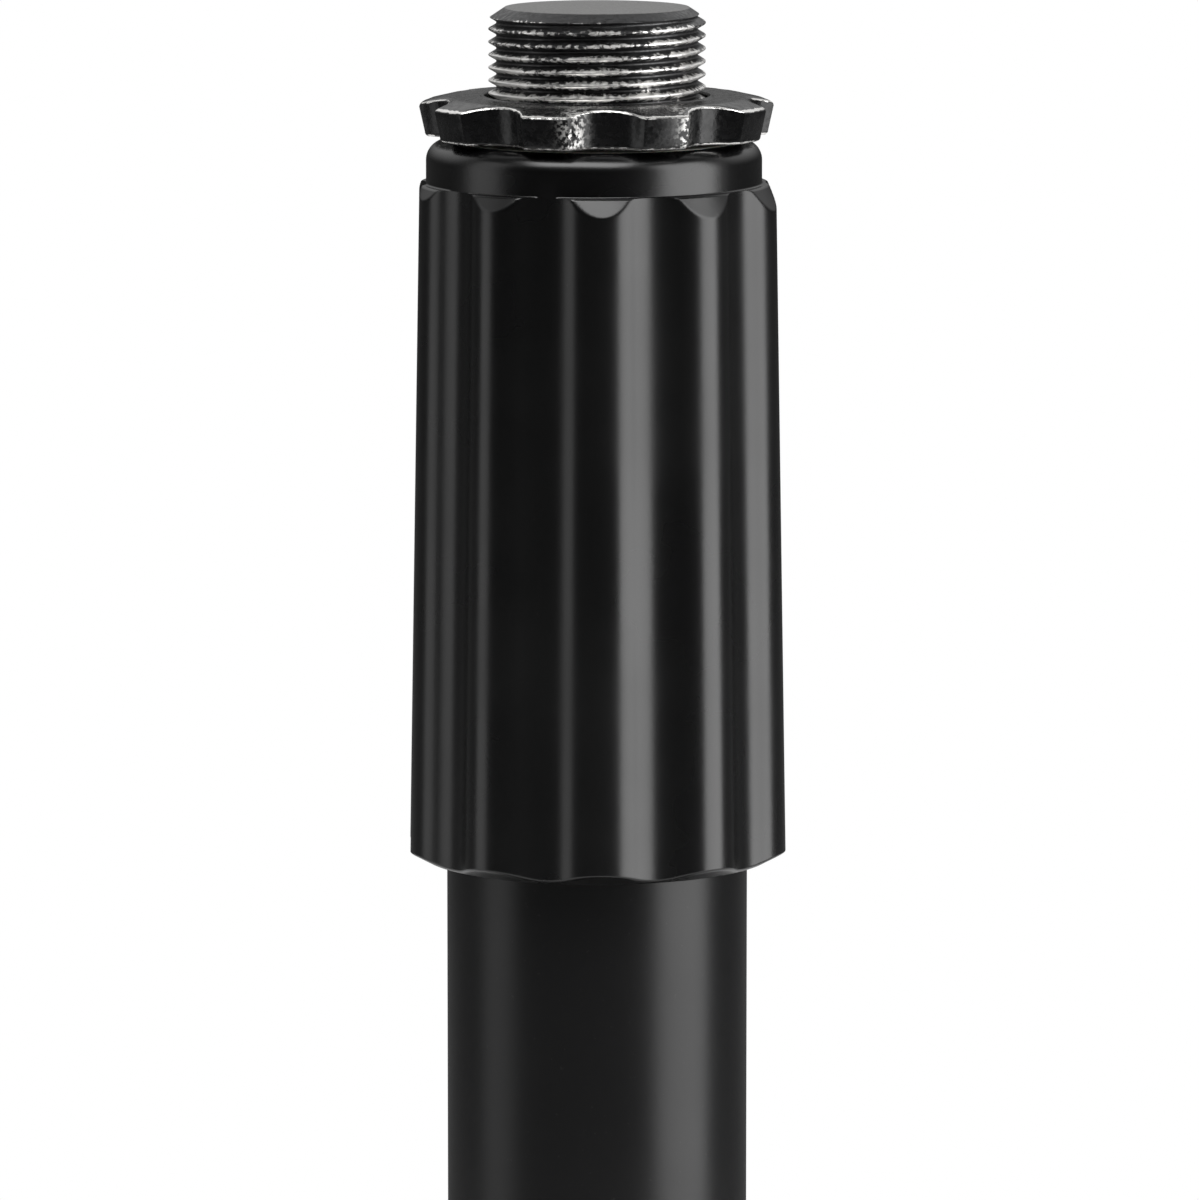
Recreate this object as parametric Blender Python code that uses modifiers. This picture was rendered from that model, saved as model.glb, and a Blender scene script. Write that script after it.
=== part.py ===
"""Desktop microphone stand: cast round base, telescopic mast, twist clutch and 5/8 inch 27 thread.

Metres, +Z up. The origin is at the centre of the base, on the surface that the feet stand on.
At rest the mast is fully lowered and the clutch is loose.
"""

import math

import bmesh
import bpy
from mathutils import Matrix, Vector

MM = 0.001

# Gaps between neighbouring pieces
SEAT_GAP = 0.3 * MM
PRESS_GAP = 0.3 * MM
RUNNING_GAP = 0.3 * MM
TAPER_GAP = 0.25 * MM

# Base casting
BASE_DIAMETER = 152.0 * MM
BASE_EDGE_HEIGHT = 8.0 * MM
BASE_EDGE_ROUND = 2.5 * MM
BASE_DOME_RISE = 5.5 * MM
BASE_HUB_DIAMETER = 36.0 * MM
BASE_HUB_HEIGHT = 24.0 * MM
BASE_HUB_ROUND = 2.0 * MM
BASE_HUB_FILLET = 6.0 * MM
BASE_WEB_THICKNESS = 4.4 * MM
TUBE_SOCKET_DEPTH = 9.0 * MM
BOLT_POCKET_DIAMETER = 21.0 * MM

# Rubber feet
FOOT_COUNT = 4
FOOT_DIAMETER = 12.0 * MM
FOOT_CIRCLE_DIAMETER = 126.0 * MM
FOOT_STANDS_OUT = 2.0 * MM
FOOT_SEAT_DEPTH = 1.4 * MM
FOOT_ROUND = 0.8 * MM

# Bolt and washers under the base
BOLT_DIAMETER = 8.0 * MM
BOLT_ACROSS_FLATS = 13.0 * MM
BOLT_HEAD_HEIGHT = 5.3 * MM
BOLT_GRIP_IN_PLUG = 13.0 * MM
FLAT_WASHER_DIAMETER = 16.0 * MM
FLAT_WASHER_THICKNESS = 1.6 * MM
SPRING_WASHER_DIAMETER = 14.0 * MM
SPRING_WASHER_THICKNESS = 2.0 * MM
SPRING_WASHER_SPLIT = 1.2 * MM

# Lower tube and its threaded plug
LOWER_TUBE_DIAMETER = 22.2 * MM
LOWER_TUBE_WALL = 1.2 * MM
LOWER_TUBE_LENGTH = 173.0 * MM
PLUG_LENGTH = 20.0 * MM
PLUG_CHAMFER = 0.8 * MM

# Upper tube, its bush and its travel
UPPER_TUBE_DIAMETER = 15.9 * MM
UPPER_TUBE_WALL = 1.2 * MM
MAST_TRAVEL = 102.0 * MM
BUSH_FLANGE_LENGTH = 9.0 * MM
BUSH_SPIGOT_LENGTH = 12.0 * MM

# Clutch core, fixed in the top of the lower tube
CORE_FLANGE_THICKNESS = 2.0 * MM
CORE_SHANK_LENGTH = 22.0 * MM
CORE_THREAD_LENGTH = 15.0 * MM
CORE_THREAD_DIAMETER = 21.2 * MM
CORE_RIM_THICKNESS = 1.0 * MM
TAPER_DEPTH = 7.0 * MM
TAPER_NARROWING = 0.6 * MM
CORE_PIN_DIAMETER = 3.0 * MM
CORE_PIN_DEPTH = 9.0 * MM
CORE_PIN_BITE = 0.8 * MM

# Collet and thrust washer
COLLET_HEAD_DIAMETER = 21.0 * MM
COLLET_HEAD_THICKNESS = 2.0 * MM
COLLET_SLIT_COUNT = 6
COLLET_SLIT_WIDTH = 0.9 * MM
CLUTCH_WASHER_DIAMETER = 21.0 * MM
CLUTCH_WASHER_THICKNESS = 1.0 * MM
CLUTCH_FEED = 0.5 * MM

# Fluted grip
GRIP_LENGTH = 53.0 * MM
GRIP_SKIRT_OVERLAP = 24.3 * MM
GRIP_TOP_DIAMETER = 27.0 * MM
GRIP_BOTTOM_DIAMETER = 28.7 * MM
GRIP_BOTTOM_ROUND = 1.0 * MM
NECK_DIAMETER = 24.6 * MM
NECK_HEIGHT = 3.0 * MM
NECK_ROUND = 1.4 * MM
SHOULDER_DROP = 1.7 * MM
RIB_COUNT = 10
GROOVE_RADIUS = 4.4 * MM
GROOVE_DEPTH = 1.15 * MM

# Threaded stud, 5/8 inch with 27 turns to the inch
THREAD_DIAMETER = 15.88 * MM
THREAD_PITCH = 0.9407 * MM
THREAD_DEPTH_IN_PITCHES = 0.613
THREAD_GROOVE_WIDTH_IN_PITCHES = 0.875
THREAD_ANGLE = math.radians(60)
STUD_ABOVE_RING = 6.5 * MM
STUD_CHAMFER = 0.6 * MM
STUD_SHANK_LENGTH = 16.0 * MM
STUD_PIN_DIAMETER = 2.4 * MM
STUD_PIN_DEPTH = 8.0 * MM

# Lock ring and the washer that it carries
RING_DIAMETER = 26.0 * MM
RING_THICKNESS = 2.95 * MM
RING_FLAT_DIAMETER = 22.0 * MM
RING_CROWN_DROP = 0.45 * MM
RING_DRAFT = 0.4 * MM
RING_LOBE_COUNT = 9
RING_NOTCH_RADIUS = 3.1 * MM
RING_NOTCH_DEPTH = 1.8 * MM
RING_NOTCH_ANGLE = math.radians(3)
RING_CHAMFER = 0.35 * MM
RING_WASHER_DIAMETER = 20.4 * MM
RING_WASHER_THICKNESS = 0.5 * MM

# Facets round a full turn
BASE_STEPS = 48
GRIP_STEPS = 80
TUBE_STEPS = 40
THREAD_STEPS = 32
SMALL_STEPS = 24
ROUND_STEPS = 3
CUT_MARGIN = 1.0 * MM
BODY_AXIS_SIZE = 10.0 * MM
MERGE_DISTANCE = 0.00001

# Radii that several pieces share
BASE_RADIUS = BASE_DIAMETER / 2
HUB_RADIUS = BASE_HUB_DIAMETER / 2
BOLT_RADIUS = BOLT_DIAMETER / 2
LOWER_OUTER_RADIUS = LOWER_TUBE_DIAMETER / 2
LOWER_BORE_RADIUS = LOWER_OUTER_RADIUS - LOWER_TUBE_WALL
UPPER_OUTER_RADIUS = UPPER_TUBE_DIAMETER / 2
UPPER_BORE_RADIUS = UPPER_OUTER_RADIUS - UPPER_TUBE_WALL
MAST_BORE_RADIUS = UPPER_OUTER_RADIUS + RUNNING_GAP
CORE_SHANK_RADIUS = LOWER_BORE_RADIUS - PRESS_GAP
CORE_THREAD_RADIUS = CORE_THREAD_DIAMETER / 2
TAPER_MOUTH_RADIUS = CORE_THREAD_RADIUS - CORE_RIM_THICKNESS
TAPER_END_RADIUS = TAPER_MOUTH_RADIUS - TAPER_NARROWING
GRIP_THREAD_RADIUS = CORE_THREAD_RADIUS + RUNNING_GAP
SKIRT_BORE_RADIUS = LOWER_OUTER_RADIUS + RUNNING_GAP
NECK_RADIUS = NECK_DIAMETER / 2
THREAD_RADIUS = THREAD_DIAMETER / 2
RING_RADIUS = RING_DIAMETER / 2
RING_BORE_RADIUS = THREAD_RADIUS + RUNNING_GAP
RING_WASHER_RADIUS = RING_WASHER_DIAMETER / 2
STUD_SHANK_RADIUS = UPPER_BORE_RADIUS - PRESS_GAP
STUD_PIN_RADIUS = STUD_PIN_DIAMETER / 2
CORE_PIN_RADIUS = CORE_PIN_DIAMETER / 2

# Heights above the table, from the base up
UNDERSIDE = FOOT_STANDS_OUT
HUB_TOP = UNDERSIDE + BASE_HUB_HEIGHT
SOCKET_FLOOR = HUB_TOP - TUBE_SOCKET_DEPTH
BOLT_POCKET_CEILING = SOCKET_FLOOR - BASE_WEB_THICKNESS
FLAT_WASHER_BOTTOM = BOLT_POCKET_CEILING - SEAT_GAP - FLAT_WASHER_THICKNESS
SPRING_WASHER_BOTTOM = FLAT_WASHER_BOTTOM - SEAT_GAP - SPRING_WASHER_THICKNESS
BOLT_HEAD_BOTTOM = SPRING_WASHER_BOTTOM - SEAT_GAP - BOLT_HEAD_HEIGHT
TUBE_BOTTOM = SOCKET_FLOOR + SEAT_GAP
TUBE_TOP = TUBE_BOTTOM + LOWER_TUBE_LENGTH
CORE_FLANGE_BOTTOM = TUBE_TOP + SEAT_GAP
CORE_FLANGE_TOP = CORE_FLANGE_BOTTOM + CORE_FLANGE_THICKNESS
CORE_TOP = CORE_FLANGE_TOP + CORE_THREAD_LENGTH
CORE_BOTTOM = CORE_FLANGE_BOTTOM - CORE_SHANK_LENGTH
COLLET_HEAD_BOTTOM = CORE_TOP + CLUTCH_FEED + 2 * SEAT_GAP
CLUTCH_WASHER_BOTTOM = COLLET_HEAD_BOTTOM + COLLET_HEAD_THICKNESS + SEAT_GAP
GRIP_CEILING = CLUTCH_WASHER_BOTTOM + CLUTCH_WASHER_THICKNESS + SEAT_GAP
GRIP_BOTTOM = TUBE_TOP - GRIP_SKIRT_OVERLAP
GRIP_TOP = GRIP_BOTTOM + GRIP_LENGTH
RING_BOTTOM = GRIP_TOP + SEAT_GAP
RING_TOP = RING_BOTTOM + RING_THICKNESS
RING_WASHER_BOTTOM = RING_BOTTOM - SEAT_GAP - RING_WASHER_THICKNESS
WASHER_RECESS_FLOOR = RING_WASHER_BOTTOM - SEAT_GAP
STUD_TOP = RING_TOP + STUD_ABOVE_RING
THREAD_START = WASHER_RECESS_FLOOR + SEAT_GAP
UPPER_TUBE_TOP = THREAD_START - SEAT_GAP
BUSH_FLANGE_TOP = CORE_BOTTOM - SEAT_GAP - MAST_TRAVEL
UPPER_TUBE_BOTTOM = BUSH_FLANGE_TOP + SEAT_GAP

for old in list(bpy.data.objects):
    bpy.data.objects.remove(old, do_unlink=True)

stand = bpy.data.collections.new("desktop_microphone_stand")
cutters = bpy.data.collections.new("cutters")
bpy.context.scene.collection.children.link(stand)
bpy.context.scene.collection.children.link(cutters)


def material(name, colour, roughness, metallic):
    """A Principled material with one plain colour."""
    made = bpy.data.materials.new(name)
    made.use_nodes = True
    shader = made.node_tree.nodes["Principled BSDF"]
    shader.inputs["Base Color"].default_value = (*colour, 1.0)
    shader.inputs["Roughness"].default_value = roughness
    shader.inputs["Metallic"].default_value = metallic
    made.diffuse_color = (*colour, 1.0)
    return made


BASE_PAINT = material("black_powder_coat", (0.018, 0.018, 0.019), 0.55, 0.0)
TUBE_PAINT = material("satin_black_paint", (0.016, 0.016, 0.017), 0.42, 0.0)
GRIP_PAINT = material("gloss_black_grip", (0.010, 0.010, 0.011), 0.30, 0.0)
THREAD_STEEL = material("blackened_steel", (0.20, 0.20, 0.20), 0.35, 1.0)
RING_PLATE = material("black_plated_zinc", (0.06, 0.06, 0.06), 0.25, 1.0)
BRIGHT_STEEL = material("zinc_plated_steel", (0.62, 0.62, 0.60), 0.30, 1.0)
FOOT_RUBBER = material("black_rubber", (0.020, 0.020, 0.020), 0.85, 0.0)
NYLON = material("natural_nylon", (0.72, 0.70, 0.64), 0.50, 0.0)


def carry(obj, carrier):
    """Parents a piece, where it stands, to the empty that carries it."""
    obj.parent = carrier
    obj.matrix_parent_inverse = Matrix.Translation((0.0, 0.0, -carrier.location.z))


def body_axis(name, height, carrier=None):
    """An empty on the mast's axis that carries the pieces which move together."""
    empty = bpy.data.objects.new(name, None)
    empty.empty_display_size = BODY_AXIS_SIZE
    empty.location.z = height
    stand.objects.link(empty)
    if carrier:
        carry(empty, carrier)
    return empty


def finish(obj, surface, carrier=None):
    """Puts the piece in the collection with its material and smooth shading, under its carrier."""
    obj.data.materials.append(surface)
    obj.data.shade_smooth()
    obj.data.set_sharp_from_angle(angle=math.radians(30))
    stand.objects.link(obj)
    if carrier:
        carry(obj, carrier)


def hide_as_cutter(obj):
    """Keeps a cutter out of the model."""
    cutters.objects.link(obj)
    obj.hide_render = True
    obj.display_type = "WIRE"
    return obj


def arc(centre_radius, centre_height, radius, start, end, steps=ROUND_STEPS):
    """Points of (radius, height) along an arc, from one angle in degrees to another."""
    points = []
    for i in range(steps + 1):
        angle = math.radians(start + (end - start) * i / steps)
        points.append((centre_radius + radius * math.cos(angle), centre_height + radius * math.sin(angle)))
    return points


def turned(name, profile, steps, closed=True):
    """A turned piece. The profile of (radius, height) runs down its outer side."""
    edges = [(i, i + 1) for i in range(len(profile) - 1)]
    if closed:
        edges.append((len(profile) - 1, 0))
    mesh = bpy.data.meshes.new(name)
    mesh.from_pydata([(radius, 0.0, height) for radius, height in profile], edges, [])
    obj = bpy.data.objects.new(name, mesh)
    screw = obj.modifiers.new("Turn", "SCREW")
    screw.steps = steps
    screw.render_steps = steps
    screw.use_merge_vertices = True
    screw.merge_threshold = MERGE_DISTANCE
    return obj


def sleeve(name, inner_radius, outer_radius, bottom, top, steps):
    """A plain ring or tube, from one height to another."""
    profile = [
        (outer_radius, top - bottom),
        (outer_radius, 0.0),
        (inner_radius, 0.0),
        (inner_radius, top - bottom),
    ]
    obj = turned(name, profile, steps)
    obj.location.z = bottom
    return obj


def rod(name, radius, length, steps=SMALL_STEPS):
    """A round or hexagonal bar along Z, centred on its own middle."""
    mesh = bpy.data.meshes.new(name)
    bm = bmesh.new()
    bmesh.ops.create_cone(
        bm, cap_ends=True, segments=steps, radius1=radius, radius2=radius, depth=length
    )
    bm.to_mesh(mesh)
    bm.free()
    return bpy.data.objects.new(name, mesh)


def bar(name, size):
    """A box of the given size, centred on its own middle."""
    mesh = bpy.data.meshes.new(name)
    bm = bmesh.new()
    bmesh.ops.create_cube(bm, size=1.0, matrix=Matrix.Diagonal((*size, 1.0)))
    bm.to_mesh(mesh)
    bm.free()
    return bpy.data.objects.new(name, mesh)


def combine(obj, other, operation="DIFFERENCE"):
    """Cuts one piece by another, or joins them."""
    boolean = obj.modifiers.new(other.name, "BOOLEAN")
    boolean.operation = operation
    boolean.object = other
    boolean.solver = "EXACT"


def bolt_circle(count, radius, first_angle=0.0):
    """Points spaced evenly on a circle, each with its angle."""
    for i in range(count):
        angle = first_angle + math.tau * i / count
        yield i, angle, Vector((radius * math.cos(angle), radius * math.sin(angle), 0.0))


def azimuth(angle):
    """The angle about +Z of a direction measured from the front, -Y, towards +X."""
    return angle - math.pi / 2


def make_base():
    """The cast foot plate: an edge, a shallow dome, a hub with the tube's socket, and pockets below."""
    dome_foot = HUB_RADIUS + BASE_HUB_FILLET
    edge_top = UNDERSIDE + BASE_EDGE_HEIGHT
    dome_top = edge_top + BASE_DOME_RISE
    slope = math.degrees(math.atan2(BASE_DOME_RISE, BASE_RADIUS - dome_foot))
    socket_radius = LOWER_OUTER_RADIUS + PRESS_GAP
    profile = [(socket_radius, HUB_TOP)]
    profile += arc(HUB_RADIUS - BASE_HUB_ROUND, HUB_TOP - BASE_HUB_ROUND, BASE_HUB_ROUND, 90, 0)
    profile += arc(dome_foot, dome_top + BASE_HUB_FILLET, BASE_HUB_FILLET, 180, 270 - slope)
    profile += arc(
        BASE_RADIUS - BASE_EDGE_ROUND, edge_top - BASE_EDGE_ROUND, BASE_EDGE_ROUND, 90 - slope, 0
    )
    profile += [
        (BASE_RADIUS, UNDERSIDE + BASE_EDGE_ROUND / 2),
        (BASE_RADIUS - BASE_EDGE_ROUND / 2, UNDERSIDE),
        (BOLT_POCKET_DIAMETER / 2, UNDERSIDE),
        (BOLT_POCKET_DIAMETER / 2, BOLT_POCKET_CEILING),
        (BOLT_RADIUS + RUNNING_GAP, BOLT_POCKET_CEILING),
        (BOLT_RADIUS + RUNNING_GAP, SOCKET_FLOOR),
        (socket_radius, SOCKET_FLOOR),
    ]
    casting = turned("base_casting", profile, BASE_STEPS)
    for i, _, place in bolt_circle(FOOT_COUNT, FOOT_CIRCLE_DIAMETER / 2, math.radians(45)):
        seat = rod(
            f"foot_seat_{i + 1}", FOOT_DIAMETER / 2 + PRESS_GAP, FOOT_SEAT_DEPTH + CUT_MARGIN
        )
        seat.location = place
        seat.location.z = UNDERSIDE + (FOOT_SEAT_DEPTH - CUT_MARGIN) / 2
        combine(casting, hide_as_cutter(seat))
    finish(casting, BASE_PAINT)


def make_feet():
    """Rubber feet set in pockets near the rim."""
    height = FOOT_STANDS_OUT + FOOT_SEAT_DEPTH - SEAT_GAP
    radius = FOOT_DIAMETER / 2
    profile = [(0.0, height), (radius, height)]
    profile += arc(radius - FOOT_ROUND, FOOT_ROUND, FOOT_ROUND, 0, -90, 2)
    profile += [(0.0, 0.0)]
    for i, _, place in bolt_circle(FOOT_COUNT, FOOT_CIRCLE_DIAMETER / 2, math.radians(45)):
        foot = turned(f"base_foot_{i + 1}", profile, SMALL_STEPS, closed=False)
        foot.location = place
        finish(foot, FOOT_RUBBER)


def make_base_bolt():
    """The hexagon bolt that pulls the tube's plug down on the base, with its two washers."""
    shank_top = TUBE_BOTTOM + BOLT_GRIP_IN_PLUG
    length = shank_top - BOLT_HEAD_BOTTOM - BOLT_HEAD_HEIGHT / 2
    bolt = rod("base_bolt", BOLT_RADIUS, length)
    bolt.location.z = shank_top - length / 2
    corner_radius = BOLT_ACROSS_FLATS / 2 / math.cos(math.pi / 6)
    head = rod("bolt_head", corner_radius, BOLT_HEAD_HEIGHT, 6)
    head.location.z = BOLT_HEAD_BOTTOM + BOLT_HEAD_HEIGHT / 2
    combine(bolt, hide_as_cutter(head), "UNION")
    finish(bolt, BRIGHT_STEEL)

    hole_radius = BOLT_RADIUS + RUNNING_GAP
    flat = sleeve(
        "base_flat_washer",
        hole_radius,
        FLAT_WASHER_DIAMETER / 2,
        FLAT_WASHER_BOTTOM,
        FLAT_WASHER_BOTTOM + FLAT_WASHER_THICKNESS,
        SMALL_STEPS,
    )
    finish(flat, BRIGHT_STEEL)

    spring = sleeve(
        "base_spring_washer",
        hole_radius,
        SPRING_WASHER_DIAMETER / 2,
        SPRING_WASHER_BOTTOM,
        SPRING_WASHER_BOTTOM + SPRING_WASHER_THICKNESS,
        SMALL_STEPS,
    )
    split = bar(
        "spring_washer_split",
        (SPRING_WASHER_DIAMETER, SPRING_WASHER_SPLIT, SPRING_WASHER_THICKNESS + 2 * CUT_MARGIN),
    )
    split.location = (SPRING_WASHER_DIAMETER / 2, 0.0, SPRING_WASHER_BOTTOM + SPRING_WASHER_THICKNESS / 2)
    combine(spring, hide_as_cutter(split))
    finish(spring, BRIGHT_STEEL)


def make_lower_tube():
    """The outer tube, with two holes for the core's pins, and the plug in its lower end."""
    tube = sleeve(
        "lower_tube", LOWER_BORE_RADIUS, LOWER_OUTER_RADIUS, TUBE_BOTTOM, TUBE_TOP, TUBE_STEPS
    )
    combine(tube, core_pin_hole("tube_pin_hole", LOWER_TUBE_DIAMETER + 2 * CUT_MARGIN))
    finish(tube, TUBE_PAINT)

    plug_radius = LOWER_BORE_RADIUS - PRESS_GAP
    hole_radius = BOLT_RADIUS + RUNNING_GAP
    profile = [
        (plug_radius - PLUG_CHAMFER, PLUG_LENGTH),
        (plug_radius, PLUG_LENGTH - PLUG_CHAMFER),
        (plug_radius, 0.0),
        (hole_radius, 0.0),
        (hole_radius, PLUG_LENGTH),
    ]
    plug = turned("lower_tube_plug", profile, TUBE_STEPS)
    plug.location.z = TUBE_BOTTOM
    finish(plug, BRIGHT_STEEL)


def core_pin_hole(name, length):
    """A cutter across the tube for the two pins that hold the clutch core."""
    hole = rod(name, CORE_PIN_RADIUS + PRESS_GAP, length, SMALL_STEPS)
    hole.rotation_euler.y = math.pi / 2
    hole.location.z = TUBE_TOP - CORE_PIN_DEPTH
    return hide_as_cutter(hole)


def make_clutch_core():
    """The sleeve that carries the clutch's thread, a taper for the collet, and its two pins."""
    profile = [
        (CORE_THREAD_RADIUS, CORE_TOP),
        (CORE_THREAD_RADIUS, CORE_FLANGE_TOP),
        (LOWER_OUTER_RADIUS, CORE_FLANGE_TOP),
        (LOWER_OUTER_RADIUS, CORE_FLANGE_BOTTOM),
        (CORE_SHANK_RADIUS, CORE_FLANGE_BOTTOM),
        (CORE_SHANK_RADIUS, CORE_BOTTOM),
        (MAST_BORE_RADIUS, CORE_BOTTOM),
        (MAST_BORE_RADIUS, CORE_TOP - TAPER_DEPTH - CLUTCH_FEED - SEAT_GAP),
        (TAPER_END_RADIUS, CORE_TOP - TAPER_DEPTH - CLUTCH_FEED - SEAT_GAP),
        (TAPER_END_RADIUS, CORE_TOP - TAPER_DEPTH),
        (TAPER_MOUTH_RADIUS, CORE_TOP),
    ]
    core = turned("clutch_core", profile, TUBE_STEPS)
    combine(core, core_pin_hole("core_pin_hole", LOWER_TUBE_DIAMETER + 2 * CUT_MARGIN))
    finish(core, BRIGHT_STEEL)

    inner_end = CORE_SHANK_RADIUS - CORE_PIN_BITE
    outer_end = LOWER_OUTER_RADIUS - RUNNING_GAP
    for number, side in ((1, 1), (2, -1)):
        pin = rod(f"core_pin_{number}", CORE_PIN_RADIUS, outer_end - inner_end, SMALL_STEPS)
        pin.rotation_euler.y = math.pi / 2
        pin.location = (side * (outer_end + inner_end) / 2, 0.0, TUBE_TOP - CORE_PIN_DEPTH)
        finish(pin, BRIGHT_STEEL)


def make_collet(carrier):
    """The split collet that the turning grip pushes down the taper, and its thrust washer."""
    head_radius = COLLET_HEAD_DIAMETER / 2
    mouth = TAPER_MOUTH_RADIUS - TAPER_GAP
    end = TAPER_END_RADIUS - TAPER_GAP
    tip = CORE_TOP - TAPER_DEPTH
    profile = [
        (head_radius, COLLET_HEAD_BOTTOM + COLLET_HEAD_THICKNESS),
        (head_radius, COLLET_HEAD_BOTTOM),
        (mouth, COLLET_HEAD_BOTTOM),
        (mouth, CORE_TOP + CLUTCH_FEED),
        (end, tip + CLUTCH_FEED),
        (end, tip),
        (MAST_BORE_RADIUS, tip),
        (MAST_BORE_RADIUS, COLLET_HEAD_BOTTOM + COLLET_HEAD_THICKNESS),
    ]
    collet = turned("collet", profile, TUBE_STEPS)
    full_height = COLLET_HEAD_BOTTOM + COLLET_HEAD_THICKNESS - tip
    for i, angle, place in bolt_circle(COLLET_SLIT_COUNT, head_radius, math.radians(30)):
        through = i == 0
        height = full_height + 2 * CUT_MARGIN if through else full_height - COLLET_HEAD_THICKNESS
        slit = bar(f"collet_slit_{i + 1}", (head_radius, COLLET_SLIT_WIDTH, height))
        slit.rotation_euler.z = angle
        slit.location = place
        slit.location.z = tip - CUT_MARGIN + height / 2
        combine(collet, hide_as_cutter(slit))
    finish(collet, NYLON, carrier)

    washer = sleeve(
        "clutch_washer",
        MAST_BORE_RADIUS,
        CLUTCH_WASHER_DIAMETER / 2,
        CLUTCH_WASHER_BOTTOM,
        CLUTCH_WASHER_BOTTOM + CLUTCH_WASHER_THICKNESS,
        TUBE_STEPS,
    )
    finish(washer, BRIGHT_STEEL, carrier)


def make_grip(carrier):
    """The fluted grip: a tapered sleeve with a stepped bore, cut by sloping round grooves."""
    shoulder_top = GRIP_TOP - NECK_HEIGHT
    shoulder_bottom = shoulder_top - SHOULDER_DROP
    thread_start = CORE_FLANGE_TOP + CLUTCH_FEED + RUNNING_GAP
    recess_radius = RING_WASHER_RADIUS + RUNNING_GAP
    bottom_radius = GRIP_BOTTOM_DIAMETER / 2
    profile = [(recess_radius, GRIP_TOP)]
    profile += arc(NECK_RADIUS - NECK_ROUND, GRIP_TOP - NECK_ROUND, NECK_ROUND, 90, 0)
    profile += [(NECK_RADIUS, shoulder_top), (GRIP_TOP_DIAMETER / 2, shoulder_bottom)]
    profile += arc(
        bottom_radius - GRIP_BOTTOM_ROUND, GRIP_BOTTOM + GRIP_BOTTOM_ROUND, GRIP_BOTTOM_ROUND, 0, -90
    )
    profile += [
        (SKIRT_BORE_RADIUS, GRIP_BOTTOM),
        (SKIRT_BORE_RADIUS, thread_start),
        (GRIP_THREAD_RADIUS, thread_start),
        (GRIP_THREAD_RADIUS, GRIP_CEILING),
        (MAST_BORE_RADIUS, GRIP_CEILING),
        (MAST_BORE_RADIUS, WASHER_RECESS_FLOOR),
        (recess_radius, WASHER_RECESS_FLOOR),
    ]
    grip = turned("clutch_grip", profile, GRIP_STEPS)

    floor_top = NECK_RADIUS + GROOVE_DEPTH / 20
    floor_bottom = bottom_radius - GROOVE_DEPTH
    slope = math.atan2(floor_bottom - floor_top, shoulder_top - GRIP_BOTTOM)
    length = GRIP_LENGTH + 2 * GROOVE_RADIUS
    middle = (shoulder_top + GRIP_BOTTOM) / 2
    reach = (floor_top + floor_bottom) / 2 + GROOVE_RADIUS / math.cos(slope)
    first = azimuth(math.pi / RIB_COUNT)
    for i, angle, place in bolt_circle(RIB_COUNT, reach, first):
        groove = rod(f"grip_groove_{i + 1}", GROOVE_RADIUS, length)
        groove.rotation_euler = (0.0, -slope, angle)
        groove.location = place
        groove.location.z = middle
        combine(grip, hide_as_cutter(groove))
    finish(grip, GRIP_PAINT, carrier)


def make_upper_tube(carrier):
    """The inner tube, with a hole for the stud's cross pin."""
    tube = sleeve(
        "upper_tube", UPPER_BORE_RADIUS, UPPER_OUTER_RADIUS, UPPER_TUBE_BOTTOM, UPPER_TUBE_TOP, TUBE_STEPS
    )
    combine(tube, stud_pin_hole("tube_cross_hole"))
    finish(tube, TUBE_PAINT, carrier)


def make_bush(carrier):
    """The nylon bush at the inner tube's lower end: a flange that fills the outer tube, and a spigot."""
    flange_radius = LOWER_BORE_RADIUS - RUNNING_GAP
    spigot_radius = UPPER_BORE_RADIUS - RUNNING_GAP
    profile = [
        (0.0, BUSH_FLANGE_LENGTH + BUSH_SPIGOT_LENGTH),
        (spigot_radius, BUSH_FLANGE_LENGTH + BUSH_SPIGOT_LENGTH),
        (spigot_radius, BUSH_FLANGE_LENGTH),
        (flange_radius, BUSH_FLANGE_LENGTH),
        (flange_radius, 0.0),
        (0.0, 0.0),
    ]
    bush = turned("guide_bush", profile, TUBE_STEPS, closed=False)
    bush.location.z = BUSH_FLANGE_TOP - BUSH_FLANGE_LENGTH
    finish(bush, NYLON, carrier)


def stud_pin_hole(name):
    """A cutter across the mast for the stud's pin."""
    hole = rod(name, STUD_PIN_RADIUS + PRESS_GAP, UPPER_TUBE_DIAMETER + 2 * CUT_MARGIN)
    hole.rotation_euler.x = math.pi / 2
    hole.location.z = UPPER_TUBE_TOP - STUD_PIN_DEPTH
    return hide_as_cutter(hole)


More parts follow.
